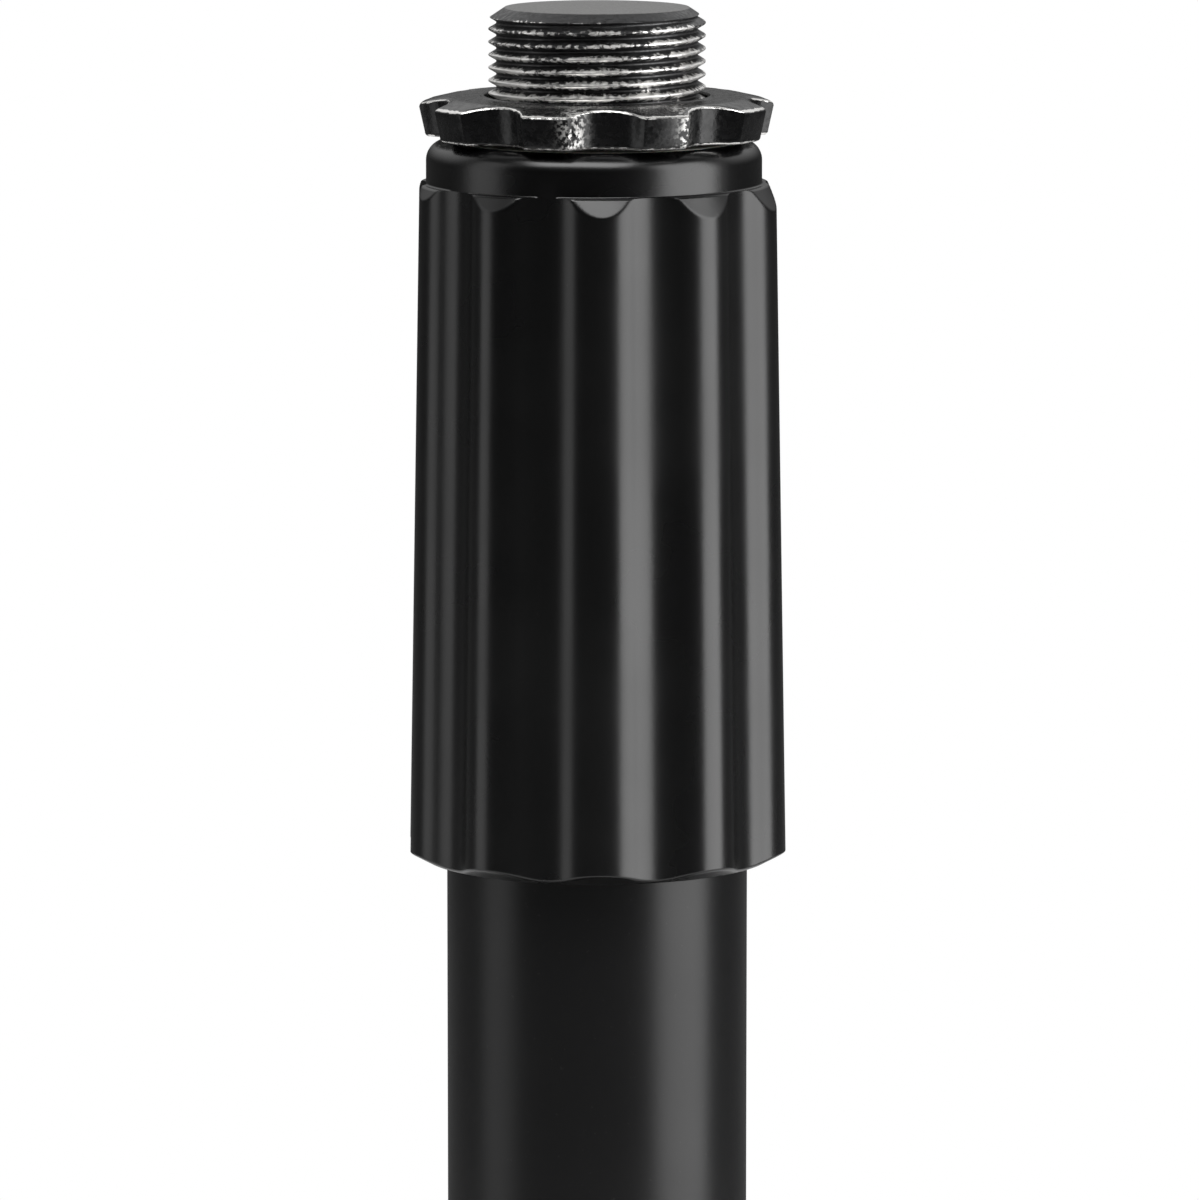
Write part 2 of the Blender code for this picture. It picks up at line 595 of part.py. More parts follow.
def thread_cutter(name, turns):
    """A right-handed V groove swept up a helix, from one turn below the thread's start."""
    depth = THREAD_DEPTH_IN_PITCHES * THREAD_PITCH
    half_width = THREAD_GROOVE_WIDTH_IN_PITCHES * THREAD_PITCH / 2
    flank = math.tan(THREAD_ANGLE / 2)
    outside = (THREAD_PITCH / 2 - half_width) / flank / 2
    outer_half = half_width + outside * flank
    inner_half = half_width - depth * flank
    outer_radius = THREAD_RADIUS + outside
    inner_radius = THREAD_RADIUS - depth
    bm = bmesh.new()
    corners = [
        bm.verts.new((outer_radius, 0.0, outer_half)),
        bm.verts.new((inner_radius, 0.0, inner_half)),
        bm.verts.new((inner_radius, 0.0, -inner_half)),
        bm.verts.new((outer_radius, 0.0, -outer_half)),
    ]
    section = bm.faces.new(corners)
    steps = round(turns * THREAD_STEPS)
    bmesh.ops.spin(
        bm,
        geom=[section, *section.edges, *section.verts],
        cent=(0.0, 0.0, 0.0),
        axis=(0.0, 0.0, 1.0),
        dvec=(0.0, 0.0, THREAD_PITCH / THREAD_STEPS),
        angle=math.tau * steps / THREAD_STEPS,
        steps=steps,
    )
    bmesh.ops.recalc_face_normals(bm, faces=bm.faces)
    mesh = bpy.data.meshes.new(name)
    bm.to_mesh(mesh)
    bm.free()
    cutter = bpy.data.objects.new(name, mesh)
    cutter.location.z = THREAD_START - THREAD_PITCH
    cutter.rotation_euler.z = math.pi / THREAD_STEPS
    return hide_as_cutter(cutter)


def make_stud(carrier):
    """The solid stud: a threaded end over a plain shank that is pinned in the inner tube."""
    chamfer_radius = THREAD_RADIUS - STUD_CHAMFER
    shank_bottom = UPPER_TUBE_TOP - STUD_SHANK_LENGTH
    profile = [
        (0.0, STUD_TOP),
        (chamfer_radius, STUD_TOP),
        (THREAD_RADIUS, STUD_TOP - STUD_CHAMFER),
        (THREAD_RADIUS, THREAD_START),
        (STUD_SHANK_RADIUS, THREAD_START),
        (STUD_SHANK_RADIUS, shank_bottom),
        (0.0, shank_bottom),
    ]
    stud = turned("thread_stud", profile, THREAD_STEPS, closed=False)
    turns = (STUD_TOP - THREAD_START) / THREAD_PITCH + 2
    combine(stud, thread_cutter("thread_groove", turns))
    combine(stud, stud_pin_hole("stud_cross_hole"))
    finish(stud, THREAD_STEEL, carrier)

    pin = rod("stud_pin", STUD_PIN_RADIUS, 2 * (UPPER_OUTER_RADIUS - RUNNING_GAP))
    pin.rotation_euler.x = math.pi / 2
    pin.location.z = UPPER_TUBE_TOP - STUD_PIN_DEPTH
    finish(pin, BRIGHT_STEEL, carrier)


def make_ring_washer(carrier):
    """The thin washer that travels under the lock ring, in the recess of the grip's top."""
    washer = sleeve(
        "ring_washer",
        RING_BORE_RADIUS,
        RING_WASHER_RADIUS,
        RING_WASHER_BOTTOM,
        RING_WASHER_BOTTOM + RING_WASHER_THICKNESS,
        TUBE_STEPS,
    )
    finish(washer, NYLON, carrier)


def make_lock_ring(carrier):
    """The lobed ring that locks the clip: its top slopes down to the lobes, its sides narrow below."""
    lobe_top = RING_THICKNESS - RING_CROWN_DROP
    bottom_radius = RING_RADIUS - RING_DRAFT
    profile = [
        (RING_BORE_RADIUS, RING_THICKNESS),
        (RING_FLAT_DIAMETER / 2, RING_THICKNESS),
        (RING_RADIUS - RING_CHAMFER, lobe_top),
        (RING_RADIUS, lobe_top - RING_CHAMFER),
        (bottom_radius, RING_CHAMFER),
        (bottom_radius - RING_CHAMFER, 0.0),
        (RING_BORE_RADIUS, 0.0),
    ]
    ring = turned("lock_ring", profile, GRIP_STEPS)
    ring.location.z = RING_BOTTOM
    reach = RING_RADIUS - RING_NOTCH_DEPTH + RING_NOTCH_RADIUS
    for i, _, place in bolt_circle(RING_LOBE_COUNT, reach, azimuth(RING_NOTCH_ANGLE)):
        notch = rod(f"ring_notch_{i + 1}", RING_NOTCH_RADIUS, RING_THICKNESS + 2 * CUT_MARGIN)
        notch.location = place
        notch.location.z = RING_BOTTOM + RING_THICKNESS / 2
        combine(ring, hide_as_cutter(notch))
    finish(ring, RING_PLATE, carrier)


make_base()
make_feet()
make_base_bolt()
make_lower_tube()
make_clutch_core()

clutch_feed_axis = body_axis("clutch_feed_axis", CORE_TOP)
grip_axis = body_axis("grip_axis", GRIP_BOTTOM, clutch_feed_axis)
make_collet(clutch_feed_axis)
make_grip(grip_axis)

mast_slide_axis = body_axis("mast_slide_axis", BUSH_FLANGE_TOP)
mast_axis = body_axis("mast_axis", UPPER_TUBE_BOTTOM, mast_slide_axis)
ring_climb_axis = body_axis("ring_climb_axis", RING_WASHER_BOTTOM, mast_axis)
ring_axis = body_axis("ring_axis", RING_BOTTOM, ring_climb_axis)
make_bush(mast_slide_axis)
make_upper_tube(mast_axis)
make_stud(mast_axis)
make_ring_washer(ring_climb_axis)
make_lock_ring(ring_axis)
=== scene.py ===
import math

import bpy
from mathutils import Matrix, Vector


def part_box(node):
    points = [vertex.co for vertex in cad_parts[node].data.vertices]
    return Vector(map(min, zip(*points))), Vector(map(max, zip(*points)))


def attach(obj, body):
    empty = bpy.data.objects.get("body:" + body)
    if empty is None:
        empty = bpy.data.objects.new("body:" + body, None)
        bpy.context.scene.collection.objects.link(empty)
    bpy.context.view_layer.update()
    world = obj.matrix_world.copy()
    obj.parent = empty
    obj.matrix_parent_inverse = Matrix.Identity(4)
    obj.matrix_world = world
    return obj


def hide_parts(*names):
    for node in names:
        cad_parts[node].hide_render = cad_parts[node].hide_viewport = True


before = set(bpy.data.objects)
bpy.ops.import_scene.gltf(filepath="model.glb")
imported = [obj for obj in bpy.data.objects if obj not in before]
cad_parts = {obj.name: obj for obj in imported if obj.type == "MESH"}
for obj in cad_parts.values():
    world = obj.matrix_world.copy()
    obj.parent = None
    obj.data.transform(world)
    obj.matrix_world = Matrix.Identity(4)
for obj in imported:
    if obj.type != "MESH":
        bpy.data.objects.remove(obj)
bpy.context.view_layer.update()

# Base casting: the round foot plate that keeps the stand upright, with a hub that takes the tube.
# It is cast iron, turned on the rim and the hub, and coated with fine-textured black powder.
MM = 0.001
BASE_STEPS = 192
BASE_EDGE_HEIGHT = 8.0 * MM
BASE_EDGE_ROUND = 2.5 * MM
BASE_DOME_RISE = 5.5 * MM
HUB_RADIUS = 18.0 * MM
HUB_ROUND = 2.0 * MM
HUB_FILLET = 6.0 * MM
SOCKET_ROUND = 0.5 * MM
UNDERSIDE_ROUND = 1.25 * MM
BOLT_POCKET_RADIUS = 10.5 * MM
BOLT_RADIUS = 4.0 * MM
FOOT_COUNT = 4
FIT_GAP = 0.3 * MM
MERGE_DISTANCE = 0.002 * MM
CUT_MARGIN = 1.0 * MM
DRILL_STEPS = 48
SHARP_ANGLE = math.radians(32)


def rounding(centre_radius, centre_height, radius, start, end, steps=8):
    """Points of (radius, height) round a corner, from one angle in degrees to another."""
    points = []
    for i in range(steps + 1):
        angle = math.radians(start + (end - start) * i / steps)
        out, up = radius * math.cos(angle), radius * math.sin(angle)
        points.append((centre_radius + out, centre_height + up))
    return points


def settle(piece):
    """Puts a finished mesh at the origin, unturned, with smooth faces and crisp edges."""
    bpy.ops.object.select_all(action="DESELECT")
    piece.select_set(True)
    bpy.context.view_layer.objects.active = piece
    bpy.ops.object.transform_apply(location=True, rotation=True, scale=True)
    bpy.ops.object.shade_smooth_by_angle(angle=SHARP_ANGLE)


def draw(path):
    """Extrudes the selected point along a path of (radius, height) points, in edit mode."""
    for (radius, height), (next_radius, next_height) in zip(path, path[1:]):
        move = (next_radius - radius, 0.0, next_height - height)
        bpy.ops.mesh.extrude_region_move(TRANSFORM_OT_translate={"value": move})


def turned(name, outline, steps, closed=True):
    """Draws an outline of (radius, height) points and spins it round the mast's axis."""
    bpy.ops.object.select_all(action="DESELECT")
    start_radius, start_height = outline[0]
    bpy.ops.mesh.primitive_plane_add(size=MM, location=(start_radius, 0.0, start_height))
    piece = bpy.context.object
    piece.name = piece.data.name = name
    bpy.ops.object.mode_set(mode="EDIT")
    bpy.ops.mesh.select_all(action="SELECT")
    bpy.ops.mesh.merge(type="CENTER")
    draw(outline + [outline[0]] if closed else outline)
    bpy.ops.mesh.select_all(action="SELECT")
    bpy.ops.mesh.spin(steps=steps, angle=math.tau, center=(0.0, 0.0, 0.0), axis=(0.0, 0.0, 1.0))
    bpy.ops.mesh.select_all(action="SELECT")
    bpy.ops.mesh.remove_doubles(threshold=MERGE_DISTANCE)
    bpy.ops.mesh.dissolve_degenerate(threshold=MERGE_DISTANCE)
    bpy.ops.mesh.normals_make_consistent(inside=False)
    bpy.ops.object.mode_set(mode="OBJECT")
    settle(piece)
    return piece


def combine(piece, tool, operation="DIFFERENCE"):
    """Cuts a piece by a tool, or joins them, and takes the tool away."""
    boolean = piece.modifiers.new("cut", "BOOLEAN")
    boolean.operation = operation
    boolean.object = tool
    boolean.solver = "EXACT"
    bpy.ops.object.select_all(action="DESELECT")
    piece.select_set(True)
    bpy.context.view_layer.objects.active = piece
    bpy.ops.object.modifier_apply(modifier=boolean.name)
    bpy.data.objects.remove(tool, do_unlink=True)


def drill(radius, length, location, rotation=(0.0, 0.0, 0.0), sides=DRILL_STEPS):
    """A round or hexagonal tool for cutting, centred on its place."""
    bpy.ops.object.select_all(action="DESELECT")
    bpy.ops.mesh.primitive_cylinder_add(
        vertices=sides, radius=radius, depth=length, location=location, rotation=rotation
    )
    tool = bpy.context.object
    bpy.ops.object.transform_apply(location=True, rotation=True, scale=True)
    return tool


def fit(piece, surface, body, slot, *nodes):
    """Gives a finished piece its material and body, and hides the CAD nodes it replaces. The slot
    is not used.
    """
    piece.data.materials.clear()
    piece.data.materials.append(surface)
    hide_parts(*nodes)
    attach(piece, body)


def surface_material(name, roughness, metallic=0.0):
    """A material on the Principled shader."""
    made = bpy.data.materials.new(name)
    made.use_nodes = True
    shader = made.node_tree.nodes["Principled BSDF"]
    shader.inputs["Roughness"].default_value = roughness
    shader.inputs["Metallic"].default_value = metallic
    return made, shader


def add_node(material, kind, inputs, **settings):
    """Adds a node: each input is a value, or another node's output to link."""
    made = material.node_tree.nodes.new(kind)
    for name, value in settings.items():
        setattr(made, name, value)
    for key, value in inputs.items():
        if isinstance(value, bpy.types.NodeSocket):
            material.node_tree.links.new(value, made.inputs[key])
        else:
            made.inputs[key].default_value = value
    return made


def object_place(material):
    """The piece's own coordinates, in metres."""
    return add_node(material, "ShaderNodeTexCoord", {}).outputs["Object"]


def noise(material, place, scale, detail=2.0):
    """Soft noise, from 0 to 1, with this many features to the metre."""
    made = add_node(
        material, "ShaderNodeTexNoise", {"Vector": place, "Scale": scale, "Detail": detail}
    )
    return made.outputs["Fac"]


def spread(material, value, low, high, bottom=0.0, top=1.0):
    """Maps low to bottom and high to top, smoothly, and holds them beyond."""
    made = add_node(
        material,
        "ShaderNodeMapRange",
        {"Value": value, "From Min": low, "From Max": high, "To Min": bottom, "To Max": top},
        interpolation_type="SMOOTHSTEP",
    )
    return made.outputs["Result"]


def mixed_colour(material, share, under, over):
    """A colour that goes from one to another as the share goes from 0 to 1."""
    made = add_node(
        material,
        "ShaderNodeMix",
        {"Factor": share, 6: (*under, 1.0), 7: (*over, 1.0)},
        data_type="RGBA",
    )
    return made.outputs[2]


def bumped(material, height, depth, strength=1.0, under=None):
    """A bump from a height of 0 to 1, as deep as given in metres."""
    inputs = {"Height": height, "Distance": depth, "Strength": strength}
    if under:
        inputs["Normal"] = under
    return add_node(material, "ShaderNodeBump", inputs).outputs["Normal"]


def connect(material, shader, **sockets):
    """Links outputs to the shader's sockets, which are named with underscores for spaces."""
    for name, output in sockets.items():
        material.node_tree.links.new(output, shader.inputs[name.replace("_", " ")])


def powder_coat():
    """Fine-textured black powder: small rounded grains over a slightly uneven casting."""
    made, shader = surface_material("powder_coat", roughness=0.5)
    place = object_place(made)
    grain = noise(made, place, scale=1700.0, detail=3.0)
    cast = noise(made, place, scale=60.0, detail=3.0)
    colour = mixed_colour(
        made,
        spread(made, cast, low=0.35, high=0.65),
        under=(0.012, 0.012, 0.0125),
        over=(0.018, 0.018, 0.019),
    )
    roughness = spread(made, grain, low=0.3, high=0.7, bottom=0.44, top=0.6)
    relief = bumped(made, cast, depth=0.12 * MM, strength=0.4)
    relief = bumped(made, grain, depth=0.05 * MM, strength=0.7, under=relief)
    connect(made, shader, Base_Color=colour, Roughness=roughness, Normal=relief)
    return made


base_low, base_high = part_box("base_casting")
tube_low, tube_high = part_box("lower_tube")
base_radius = base_high.x
underside = base_low.z
tube_radius = tube_high.x
edge_top = underside + BASE_EDGE_HEIGHT
dome_foot = HUB_RADIUS + HUB_FILLET
dome_slope = math.degrees(math.atan2(BASE_DOME_RISE, base_radius - dome_foot))
socket_radius = tube_radius + FIT_GAP
socket_floor = tube_low.z - FIT_GAP
flat_washer_low, flat_washer_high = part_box("base_flat_washer")
bolt_hole_radius = BOLT_RADIUS + FIT_GAP
pocket_ceiling = flat_washer_high.z + FIT_GAP

outline = rounding(
    socket_radius + SOCKET_ROUND,
    base_high.z - SOCKET_ROUND,
    SOCKET_ROUND,
    start=180,
    end=90,
    steps=4,
)
outline += rounding(HUB_RADIUS - HUB_ROUND, base_high.z - HUB_ROUND, HUB_ROUND, start=90, end=0)
outline += rounding(
    dome_foot,
    edge_top + BASE_DOME_RISE + HUB_FILLET,
    HUB_FILLET,
    start=180,
    end=270 - dome_slope,
    steps=14,
)
outline += rounding(
    base_radius - BASE_EDGE_ROUND,
    edge_top - BASE_EDGE_ROUND,
    BASE_EDGE_ROUND,
    start=90 - dome_slope,
    end=0,
    steps=12,
)
outline += rounding(
    base_radius - UNDERSIDE_ROUND,
    underside + UNDERSIDE_ROUND,
    UNDERSIDE_ROUND,
    start=0,
    end=-90,
    steps=6,
)
outline += [
    (BOLT_POCKET_RADIUS, underside),
    (BOLT_POCKET_RADIUS, pocket_ceiling),
    (bolt_hole_radius, pocket_ceiling),
    (bolt_hole_radius, socket_floor),
    (socket_radius, socket_floor),
]
cast_base = turned("cast_base", outline, BASE_STEPS)
for number in range(1, FOOT_COUNT + 1):
    foot_low, foot_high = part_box(f"base_foot_{number}")
    seat = (foot_low + foot_high) / 2
    seat_radius = (foot_high.x - foot_low.x) / 2 + FIT_GAP
    seat_top = foot_high.z + FIT_GAP
    seat_bottom = underside - CUT_MARGIN
    seat.z = (seat_top + seat_bottom) / 2
    combine(cast_base, drill(seat_radius, seat_top - seat_bottom, seat))
settle(cast_base)
fit(cast_base, powder_coat(), "base", "base_paint", "base_casting")

# Feet: four round rubber buttons that stand out under the base and keep it from sliding.
# They are moulded in black rubber and pressed into round seats near the rim.
FOOT_ROUND = 0.8 * MM
FOOT_DISH_RADIUS = 3.2 * MM
FOOT_DISH_DEPTH = 0.5 * MM
SMALL_STEPS = 72


def moulded_rubber():
    """Matt black rubber with a dull, slightly dusty skin."""
    made, shader = surface_material("moulded_rubber", roughness=0.8)
    place = object_place(made)
    dust = noise(made, place, scale=260.0, detail=4.0)
    skin = noise(made, place, scale=2600.0, detail=2.0)
    colour = mixed_colour(
        made,
        spread(made, dust, low=0.45, high=0.75),
        under=(0.014, 0.014, 0.014),
        over=(0.03, 0.03, 0.029),
    )
    connect(
        made,
        shader,
        Base_Color=colour,
        Roughness=spread(made, dust, low=0.3, high=0.7, bottom=0.72, top=0.88),
    )
    connect(made, shader, Normal=bumped(made, skin, depth=0.02 * MM, strength=0.6))
    return made


rubber = moulded_rubber()
foot_low, foot_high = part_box("base_foot_1")
foot_radius = (foot_high.x - foot_low.x) / 2
dish_top = foot_low.z + FOOT_DISH_DEPTH
outline = [
    (0.0, foot_high.z),
    (foot_radius - FIT_GAP, foot_high.z),
    (foot_radius, foot_high.z - FIT_GAP),
]
outline += rounding(
    foot_radius - FOOT_ROUND, foot_low.z + FOOT_ROUND, FOOT_ROUND, start=0, end=-90
)
outline += rounding(
    FOOT_DISH_RADIUS + FIT_GAP, foot_low.z + FIT_GAP, FIT_GAP, start=-90, end=-180, steps=4
)
outline += [(FOOT_DISH_RADIUS - FIT_GAP, dish_top), (0.0, dish_top)]
feet = [turned("rubber_foot_1", outline, SMALL_STEPS, closed=False)]
for number in range(2, FOOT_COUNT + 1):
    foot = feet[0].copy()
    foot.data = feet[0].data.copy()
    foot.name = foot.data.name = f"rubber_foot_{number}"
    bpy.context.scene.collection.objects.link(foot)
    feet.append(foot)
for number, foot in enumerate(feet, 1):
    low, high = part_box(f"base_foot_{number}")
    foot.location = ((low.x + high.x) / 2, (low.y + high.y) / 2, 0.0)
    settle(foot)
    fit(foot, rubber, "base", "foot_rubber", f"base_foot_{number}")

# Base bolt: a hexagon bolt that comes up through the base and pulls the tube's plug down on it.
# It is zinc-plated steel, and sits in a pocket with a split spring washer and a flat washer.
HEAD_ACROSS_FLATS = 13.0 * MM
HEAD_CHAMFER = 0.9 * MM
WASHER_EDGE = 0.2 * MM
SPRING_WASHER_SPLIT = 1.2 * MM
CHAMFER_SPARE = 0.02 * MM


def zinc_plate():
    """Bright zinc on steel: a faint cool cloudiness and fine marks from tumbling."""
    made, shader = surface_material("zinc_plate", roughness=0.3, metallic=1.0)
    place = object_place(made)
    cloud = noise(made, place, scale=140.0, detail=3.0)
    marks = noise(made, place, scale=1400.0, detail=4.0)
    colour = mixed_colour(
        made,
        spread(made, cloud, low=0.3, high=0.7),
        under=(0.52, 0.53, 0.55),
        over=(0.66, 0.65, 0.62),
    )
    connect(
        made,
        shader,
        Base_Color=colour,
        Roughness=spread(made, marks, low=0.3, high=0.7, bottom=0.22, top=0.42),
    )
    connect(made, shader, Normal=bumped(made, marks, depth=0.01 * MM, strength=0.5))
    return made


zinc = zinc_plate()
bolt_low, bolt_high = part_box("base_bolt")
corner_radius = HEAD_ACROSS_FLATS / 2 / math.cos(math.pi / 6)
spring_low, spring_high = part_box("base_spring_washer")
head_top = spring_low.z - FIT_GAP
outline = [
    (0.0, bolt_high.z),
    (BOLT_RADIUS - HEAD_CHAMFER / 2, bolt_high.z),
    (BOLT_RADIUS, bolt_high.z - HEAD_CHAMFER / 2),
    (BOLT_RADIUS, head_top - HEAD_CHAMFER),
    (0.0, head_top - HEAD_CHAMFER),
]
hex_bolt = turned("hex_bolt", outline, SMALL_STEPS, closed=False)
head_height = head_top - bolt_low.z
head_middle = (head_top + bolt_low.z) / 2
head = drill(corner_radius, head_height, (0.0, 0.0, head_middle), sides=6)
outline = [
    (0.0, head_top + CUT_MARGIN),
    (corner_radius + CUT_MARGIN, head_top + CUT_MARGIN),
    (corner_radius + CUT_MARGIN, bolt_low.z + HEAD_CHAMFER + CUT_MARGIN / 2),
    (HEAD_ACROSS_FLATS / 2 - WASHER_EDGE, bolt_low.z - CHAMFER_SPARE),
    (0.0, bolt_low.z - CHAMFER_SPARE),
]
combine(head, turned("head_chamfer", outline, SMALL_STEPS, closed=False), "INTERSECT")
combine(hex_bolt, head, "UNION")
settle(hex_bolt)
fit(hex_bolt, zinc, "base", "bright_steel", "base_bolt")


def washer_outline(inner, low, high):
    """A flat washer's section, with its outer edges rounded by the press."""
    return [
        (inner, high.z),
        (high.y - WASHER_EDGE, high.z),
        (high.y, high.z - WASHER_EDGE),
        (high.y, low.z + WASHER_EDGE),
        (high.y - WASHER_EDGE, low.z),
        (inner, low.z),
    ]


flat_washer = turned(
    "flat_washer", washer_outline(bolt_hole_radius, flat_washer_low, flat_washer_high), SMALL_STEPS
)
fit(flat_washer, zinc, "base", "bright_steel", "base_flat_washer")
spring_washer = turned(
    "spring_washer", washer_outline(bolt_hole_radius, spring_low, spring_high), SMALL_STEPS
)
split_height = spring_high.z - spring_low.z + 2 * CUT_MARGIN
bpy.ops.object.select_all(action="DESELECT")
bpy.ops.mesh.primitive_cube_add(
    size=1.0, location=(spring_high.y, 0.0, (spring_low.z + spring_high.z) / 2)
)
split = bpy.context.object
split.scale = (spring_high.y * 2, SPRING_WASHER_SPLIT, split_height)
combine(spring_washer, split)
settle(spring_washer)
fit(spring_washer, zinc, "base", "bright_steel", "base_spring_washer")

# Outer tube: the plain upright between the base and the grip, with the threaded plug in its foot.
# It is drawn steel tube in satin black paint. The plug and the pins are zinc-plated steel.
TUBE_WALL = 1.2 * MM
TUBE_EDGE = 0.25 * MM
TUBE_STEPS = 240
DRILL_LENGTH_IN_RADII = 3


def satin_paint():
    """Satin black paint on drawn tube: nearly even, with a very fine orange peel."""
    made, shader = surface_material("satin_paint", roughness=0.33)
    shader.inputs["Specular IOR Level"].default_value = 0.32
    place = object_place(made)
    peel = noise(made, place, scale=900.0, detail=2.0)
    cloud = noise(made, place, scale=45.0, detail=3.0)
    dust = noise(made, place, scale=3200.0, detail=1.0)
    colour = mixed_colour(
        made,
        spread(made, dust, low=0.72, high=0.8),
        under=(0.0022, 0.0022, 0.0024),
        over=(0.01, 0.01, 0.01),
    )
    connect(
        made,
        shader,
        Base_Color=colour,
        Roughness=spread(made, cloud, low=0.3, high=0.7, bottom=0.3, top=0.36),
    )
    connect(made, shader, Normal=bumped(made, peel, depth=0.006 * MM, strength=0.6))
    return made


def dress(surface, *names):
    """Gives hidden CAD pieces their material."""
    for name in names:
        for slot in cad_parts[name].material_slots:
            slot.material = surface


def tube_outline(low, high, radius):
    """The section of a tube's wall, with its cut ends deburred."""
    bore = radius - TUBE_WALL
    return [
        (bore, high.z - TUBE_EDGE),
        (bore + TUBE_EDGE, high.z),
        (radius - TUBE_EDGE, high.z),
        (radius, high.z - TUBE_EDGE),
        (radius, low.z + TUBE_EDGE),
        (radius - TUBE_EDGE, low.z),
        (bore + TUBE_EDGE, low.z),
        (bore, low.z + TUBE_EDGE),
    ]


tube_paint = satin_paint()
outer_tube = turned("outer_tube", tube_outline(tube_low, tube_high, tube_radius), TUBE_STEPS)
pin_low, pin_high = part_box("core_pin_1")
pin_radius = (pin_high.z - pin_low.z) / 2 + FIT_GAP
pin_height = (pin_high.z + pin_low.z) / 2
across = (0.0, math.pi / 2, 0.0)
drill_length = DRILL_LENGTH_IN_RADII * tube_radius
combine(outer_tube, drill(pin_radius, drill_length, (0.0, 0.0, pin_height), across))
settle(outer_tube)
fit(outer_tube, tube_paint, "base", "tube_paint", "lower_tube")
dress(zinc, "lower_tube_plug", "core_pin_1", "core_pin_2")

# Clutch inside: a core with a thread and a taper, a split collet, and a washer that pushes it in.
# The core and washer are zinc-plated steel, and the collet is natural nylon. The grip hides them.


def natural_nylon():
    """Cream moulded nylon, slightly cloudy, with a soft sheen."""
    made, shader = surface_material("natural_nylon", roughness=0.45)
    shader.inputs["Subsurface Weight"].default_value = 0.1
    shader.inputs["Subsurface Scale"].default_value = 1.0 * MM
    place = object_place(made)
    cloud = noise(made, place, scale=220.0, detail=3.0)
    colour = mixed_colour(
        made,
        spread(made, cloud, low=0.3, high=0.7),
        under=(0.66, 0.63, 0.55),
        over=(0.74, 0.72, 0.65),
    )
    connect(
        made,
        shader,
        Base_Color=colour,
        Roughness=spread(made, cloud, low=0.3, high=0.7, bottom=0.4, top=0.52),
    )
    connect(made, shader, Normal=bumped(made, cloud, depth=0.02 * MM, strength=0.4))
    return made


nylon = natural_nylon()
dress(zinc, "clutch_core", "clutch_washer")
dress(nylon, "collet")

# Grip: the fluted sleeve that is twisted to free or lock the height. Ten ribs give it its hold.
# It is die-cast, turned at the neck, shoulder and lower lip, and coated in smooth black enamel.
GRIP_STEPS = 360
RIB_COUNT = 10
CREST_TOP_RADIUS = 13.5 * MM
CREST_BOTTOM_RADIUS = 14.35 * MM
FLOOR_TOP_RADIUS = 12.33 * MM
FLOOR_BOTTOM_RADIUS = 13.15 * MM
FLUTE_RADIUS = 4.4 * MM
RIB_ANGLE = math.radians(1.3)
TURNED_EDGE_BLEND = 0.05 * MM
NECK_RADIUS = 12.3 * MM
NECK_HEIGHT = 3.1 * MM
NECK_ROUND = 1.4 * MM
NECK_SHIFT = 0.22 * MM
NECK_FILLET = 0.14 * MM
LEDGE_RADIUS = 12.84 * MM
LEDGE_ROUND = 0.1 * MM
SHOULDER_DROP = 1.27 * MM
LIP_RISE = 0.8 * MM
LIP_FOOT_RADIUS = 12.85 * MM
WALL_SPARE = 0.3 * MM
LIP_EDGE_BLEND = 0.25 * MM
GRIP_WALL_STEPS = 26
TURNED_ROW = 0.05 * MM
THREAD_BORE = 10.9 * MM
THREAD_START_ABOVE_TUBE = 3.1 * MM


def soft_minimum(first, second, blend):
    """The lesser of two lengths, with the step from one to the other rounded."""
    overlap = max(blend - abs(first - second), 0.0) / blend
    return min(first, second) - overlap * overlap * blend / 4


def fluted_radius(angle, crest, floor):
    """The grip's radius at an angle: round ribs that run without a break into round flutes."""
    half_pitch = math.pi / RIB_COUNT
    from_rib = abs((angle + half_pitch) % (2 * half_pitch) - half_pitch)
    flute_centre = floor + FLUTE_RADIUS
    reach = FLUTE_RADIUS + crest
    along = flute_centre * math.cos(half_pitch)
    rib_centre = (flute_centre**2 - reach**2) / (2 * (along - reach))
    rib_radius = crest - rib_centre
    share = rib_radius / (rib_radius + FLUTE_RADIUS)
    touch_across = share * flute_centre * math.sin(half_pitch)
    touch_along = rib_centre + share * (along - rib_centre)
    if from_rib < math.atan2(touch_across, touch_along):
        across = rib_centre * math.sin(from_rib)
        return rib_centre * math.cos(from_rib) + math.sqrt(rib_radius**2 - across**2)
    from_flute = half_pitch - from_rib
    across = flute_centre * math.sin(from_flute)
    return flute_centre * math.cos(from_flute) - math.sqrt(FLUTE_RADIUS**2 - across**2)


def front_angle(point):
    """The angle round the mast from the front, which is -Y, towards +X."""
    return math.atan2(point.x, -point.y)


def rows(start, end, step):
    """Heights from start to end, about a step apart."""
    count = max(round(abs(end - start) / step), 1)
    return [start + (end - start) * i / count for i in range(count + 1)]


